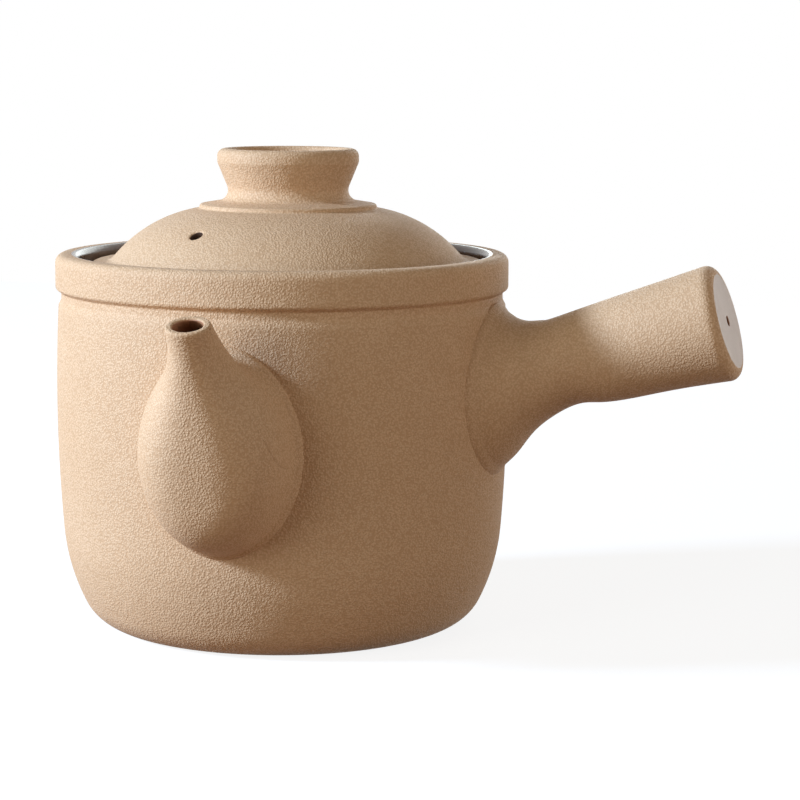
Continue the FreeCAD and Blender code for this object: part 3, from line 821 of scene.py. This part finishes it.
def clay_spout():
    stations = rings_on_pot(SPOUT_RINGS, SPOUT_ROOT_HEIGHT)
    outer = smooth_rings(stations, SPOUT_RING_COUNT)
    tip = outer.pop()
    inner = thinned(smooth_rings(stations, SPOUT_INNER_RING_COUNT), SPOUT_WALL)[:-1]
    lip = []
    for turn in range(0, 91, SPOUT_LIP_STEP):
        rise, fall = quarter_round(turn)
        lip.append(moved_along(tip, SPOUT_LIP_ROUND * (rise - 1), SPOUT_TIP_RADIUS - SPOUT_LIP_ROUND * fall))
    bore = SPOUT_TIP_RADIUS - SPOUT_TIP_WALL
    for turn in range(90, -1, -SPOUT_LIP_STEP):
        rise, fall = quarter_round(turn)
        along = SPOUT_LIP_ROUND * (rise - 1) - SPOUT_LIP_DIP
        lip.append(moved_along(tip, along, bore + SPOUT_LIP_ROUND * fall))
    outer = [ring for ring in outer if ring[1] < lip[0][1] - SPOUT_LIP_GAP]
    inner = [ring for ring in inner if ring[1] < lip[-1][1] - SPOUT_BORE_GAP]
    rings = [*outer, *lip, *reversed(inner)]
    spout = joined_rings("clay_spout", rings)
    last = len(rings) - 1
    inner_numbers = range(last, last - len(inner), -1)
    draw_strings(spout, stations, range(len(outer)), SPOUT_RING_COUNT)
    draw_strings(spout, thinned(stations, SPOUT_WALL), inner_numbers, SPOUT_INNER_RING_COUNT)
    square_front(spout, outer)
    middle = Vector((BELLY_RADIUS, 0, SPOUT_ROOT_HEIGHT))
    press_on_wall(spout, range(ROOT_RINGS), middle, ROOT_EDGE_WIDTH)
    press_on_wall(spout, inner_numbers[:ROOT_INNER_RINGS], middle, 0.0)
    pick(spout)
    spout.rotation_euler = (0, 0, math.radians(SPOUT_BEARING))
    bpy.ops.object.transform_apply(location=False, rotation=True, scale=False)
    bpy.ops.object.shade_smooth_by_angle(angle=math.radians(SPOUT_SMOOTH_BELOW))
    spout.data.materials.append(pot_clay)
    finish_from_ring(spout, dark_bore, len(outer) + len(lip) - SPOUT_LIP_IN_BORE)
    return spout


def square_front(spout, rings):
    """Makes the front of the spout's belly broader, most where it is fullest."""
    square_at = natural_curve(*zip(*SPOUT_FRONT))
    vertices = spout.data.vertices
    for i, (x, z, tilt, half_width, half_height) in enumerate(rings):
        square = 2 + max(0.0, square_at(x - BELLY_RADIUS)) ** 2
        up = ring_up(tilt)
        centre = Vector((x, 0, z))
        for vertex in vertices[i * RING_POINTS:(i + 1) * RING_POINTS]:
            arm = vertex.co / MM - centre
            side, below = arm.y / half_width, -arm.dot(up) / half_height
            if below > 0:
                swell = (abs(side) ** square + below ** square) ** (-1 / square)
                swell *= math.hypot(side, below)
                vertex.co = (centre + arm * swell) * MM


def clay_handle():
    root = rings_on_pot(HANDLE_ROOT_RINGS, HANDLE_ROOT_HEIGHT)
    start = (BELLY_RADIUS, HANDLE_ROOT_HEIGHT, HANDLE_TILT)
    slope = (HANDLE_END_RADIUS - HANDLE_NECK_RADIUS) / (HANDLE_LENGTH - HANDLE_NECK_PLACE)

    def grip(along, thinner=0.0):
        return moved_along(start, along, HANDLE_NECK_RADIUS + slope * (along - HANDLE_NECK_PLACE) - thinner)

    past_neck = HANDLE_NECK_PLACE + HANDLE_BLEND
    edge = HANDLE_LENGTH - HANDLE_END_ROUND
    inside_end = HANDLE_LENGTH - HANDLE_WALL

    def grip_rings(end, thinner=0.0):
        """Four rings of the grip, from its neck to the given end."""
        places = (HANDLE_NECK_PLACE, past_neck, (past_neck + end) / 2, end)
        return [grip(along, thinner) for along in places]

    skin = [*root, *grip_rings(edge)]
    hollow = [*thinned(root, HANDLE_WALL), *grip_rings(inside_end, HANDLE_WALL)]
    outer = smooth_rings(skin, HANDLE_RING_COUNT)
    inner = smooth_rings(hollow, HANDLE_INNER_RING_COUNT)
    rounding = []
    for turn in range(HANDLE_END_STEP, 91, HANDLE_END_STEP):
        rise, fall = quarter_round(turn)
        radius = grip(edge)[3] - HANDLE_END_ROUND * fall
        rounding.append(moved_along(start, edge + HANDLE_END_ROUND * rise, radius))
    flat = rounding[-1][3]
    disc = [
        moved_along(start, HANDLE_LENGTH - HANDLE_DISC_DISH * i, radius)
        for i, radius in enumerate((flat - HANDLE_DISC_EDGE, flat * 0.75, flat * 0.5, flat * 0.25), 1)
    ]
    vent = [
        moved_along(start, HANDLE_LENGTH - HANDLE_VENT_EDGE, HANDLE_VENT_RADIUS + HANDLE_VENT_FLARE),
        moved_along(start, HANDLE_LENGTH - HANDLE_VENT_NECK, HANDLE_VENT_RADIUS),
        moved_along(start, inside_end + HANDLE_VENT_EDGE, HANDLE_VENT_RADIUS),
    ]
    rings = [*outer, *rounding, *disc, *vent, *reversed(inner)]
    handle = joined_rings("clay_handle", rings)
    last = len(rings) - 1
    inner_numbers = range(last, last - len(inner), -1)
    draw_strings(handle, skin, range(len(outer)), HANDLE_RING_COUNT)
    draw_strings(handle, hollow, inner_numbers, HANDLE_INNER_RING_COUNT)
    middle = Vector((BELLY_RADIUS, 0, HANDLE_ROOT_HEIGHT - HANDLE_ROOT_DROP))
    press_on_wall(handle, range(ROOT_RINGS), middle, ROOT_EDGE_WIDTH)
    press_on_wall(handle, inner_numbers[:ROOT_INNER_RINGS], middle, 0.0)
    pick(handle)
    bpy.ops.object.shade_smooth_by_angle(angle=math.radians(HANDLE_SMOOTH_BELOW))
    handle.data.materials.append(handle_clay)
    finish_from_ring(handle, grip_end, len(outer) + len(rounding) - 1)
    finish_from_ring(handle, dark_bore, len(outer) + len(rounding) + len(disc))
    return handle


for piece, body, node, slot in (
    (clay_pot(), "pot", "pot_body", "pot_clay"),
    (clay_spout(), "pot", "spout", "pot_clay"),
    (clay_handle(), "pot", "handle", "handle_clay"),
    (clay_lid(), "lid", "lid", "lid_clay"),
    (clay_knob(), "lid", "lid_knob", "lid_clay"),
):
    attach(piece, body)
    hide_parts(node)


# ---- room; its sizes are in metres, apart from the camera's sensor and lens ----
FLOOR_SIZE = 2.6
FLOOR_GLOW = 0.86              # lifts the floor that is seen to near white
LAMP_DISTANCE = 1.8
LAMP_TARGET = Vector((0, 0, 90 * MM))
CAMERA_HEIGHT = 0.231838
SENSOR_MM = 36
LENS_MM = 111.594


def seen_directly(tree):
    """One for what the camera or a reflection sees, and zero for light on its way to the pot."""
    path = tree.nodes.new("ShaderNodeLightPath")
    seen = tree.nodes.new("ShaderNodeMath")
    seen.operation = "MAXIMUM"
    tree.links.new(path.outputs["Is Camera Ray"], seen.inputs[0])
    tree.links.new(path.outputs["Is Glossy Ray"], seen.inputs[1])
    return seen.outputs[0]


def pale_floor():
    """A floor that looks near white, and throws only a little warm light back at the pot."""
    deselect_all()
    bpy.ops.mesh.primitive_plane_add(size=FLOOR_SIZE)
    floor = bpy.context.object
    floor.name = "floor"
    paint = bpy.data.materials.new("pale_floor")
    paint.use_nodes = True
    tree = paint.node_tree
    shader = tree.nodes["Principled BSDF"]
    shader.inputs["Base Color"].default_value = (0.21, 0.083, 0.025, 1)
    shader.inputs["Roughness"].default_value = 0.9
    shader.inputs["Specular IOR Level"].default_value = 0.0
    paper = tree.nodes.new("ShaderNodeBsdfDiffuse")
    paper.inputs["Color"].default_value = (0.22, 0.22, 0.23, 1)
    glow = tree.nodes.new("ShaderNodeEmission")
    glow.inputs["Strength"].default_value = FLOOR_GLOW
    seen_floor = tree.nodes.new("ShaderNodeAddShader")
    tree.links.new(paper.outputs[0], seen_floor.inputs[0])
    tree.links.new(glow.outputs[0], seen_floor.inputs[1])
    mix = tree.nodes.new("ShaderNodeMixShader")
    tree.links.new(seen_directly(tree), mix.inputs[0])
    tree.links.new(shader.outputs[0], mix.inputs[1])
    tree.links.new(seen_floor.outputs[0], mix.inputs[2])
    tree.links.new(mix.outputs[0], tree.nodes["Material Output"].inputs["Surface"])
    floor.data.materials.append(paint)


def white_room():
    """A plain white surrounding for the camera and for reflections, and a warm dimmer one as fill light."""
    world = bpy.data.worlds.new("room")
    bpy.context.scene.world = world
    world.use_nodes = True
    tree = world.node_tree
    colour = tree.nodes.new("ShaderNodeMix")
    colour.data_type = "RGBA"
    tree.links.new(seen_directly(tree), colour.inputs[MIX_SHARE])
    colour.inputs[MIX_FIRST].default_value = (0.15, 0.125, 0.095, 1)
    colour.inputs[MIX_SECOND].default_value = (1, 1, 1, 1)
    tree.links.new(colour.outputs[MIX_COLOUR], tree.nodes["Background"].inputs["Color"])


def soft_lamp(name, azimuth, elevation, size, power, colour):
    """A square lamp that looks at the pot, from -Y at azimuth 0 and from +X at 90."""
    turn, rise = math.radians(azimuth), math.radians(elevation)
    place = LAMP_TARGET + LAMP_DISTANCE * Vector(
        (math.sin(turn) * math.cos(rise), -math.cos(turn) * math.cos(rise), math.sin(rise))
    )
    data = bpy.data.lights.new(name, "AREA")
    data.size = size
    data.energy = power
    data.color = colour
    lamp = bpy.data.objects.new(name, data)
    bpy.context.collection.objects.link(lamp)
    lamp.location = place
    lamp.rotation_euler = (LAMP_TARGET - place).to_track_quat("-Z", "Y").to_euler()


def standing_camera():
    """Stands a metre from the pot's axis, a little above the knob, turned slightly towards the handle."""
    azimuth = math.radians(20.0)
    pitch = math.radians(8.072)
    yaw = math.radians(2.724)
    roll = math.radians(0.235)
    place = Vector((math.sin(azimuth), -math.cos(azimuth), CAMERA_HEIGHT))
    heading = azimuth - yaw
    forward = Vector((-math.sin(heading), math.cos(heading), 0)) * math.cos(pitch)
    forward -= Vector((0, 0, math.sin(pitch)))
    right = Vector((math.cos(heading), math.sin(heading), 0))
    up = right.cross(forward)
    tilted_right = right * math.cos(roll) + up * math.sin(roll)
    tilted_up = up * math.cos(roll) - right * math.sin(roll)
    camera = bpy.data.objects.new("camera", bpy.data.cameras.new("camera"))
    bpy.context.collection.objects.link(camera)
    camera.data.sensor_width = SENSOR_MM
    camera.data.lens = LENS_MM
    axes = Matrix((tilted_right, tilted_up, -forward)).transposed()
    camera.matrix_world = Matrix.Translation(place) @ axes.to_4x4()
    bpy.context.scene.camera = camera


standing_camera()
pale_floor()
white_room()
soft_lamp("key", azimuth=-59, elevation=22, size=0.28, power=65, colour=(0.55, 0.735, 0.99))
soft_lamp("front", azimuth=-30, elevation=12, size=1.0, power=13.0, colour=(0.94, 1.0, 0.95))
soft_lamp("side", azimuth=84, elevation=11, size=1.0, power=8.8, colour=(1.0, 0.99, 0.92))
soft_lamp("back", azimuth=180, elevation=12, size=1.2, power=9.5, colour=(0.90, 1.0, 1.0))
bpy.context.scene.view_settings.view_transform = "Standard"
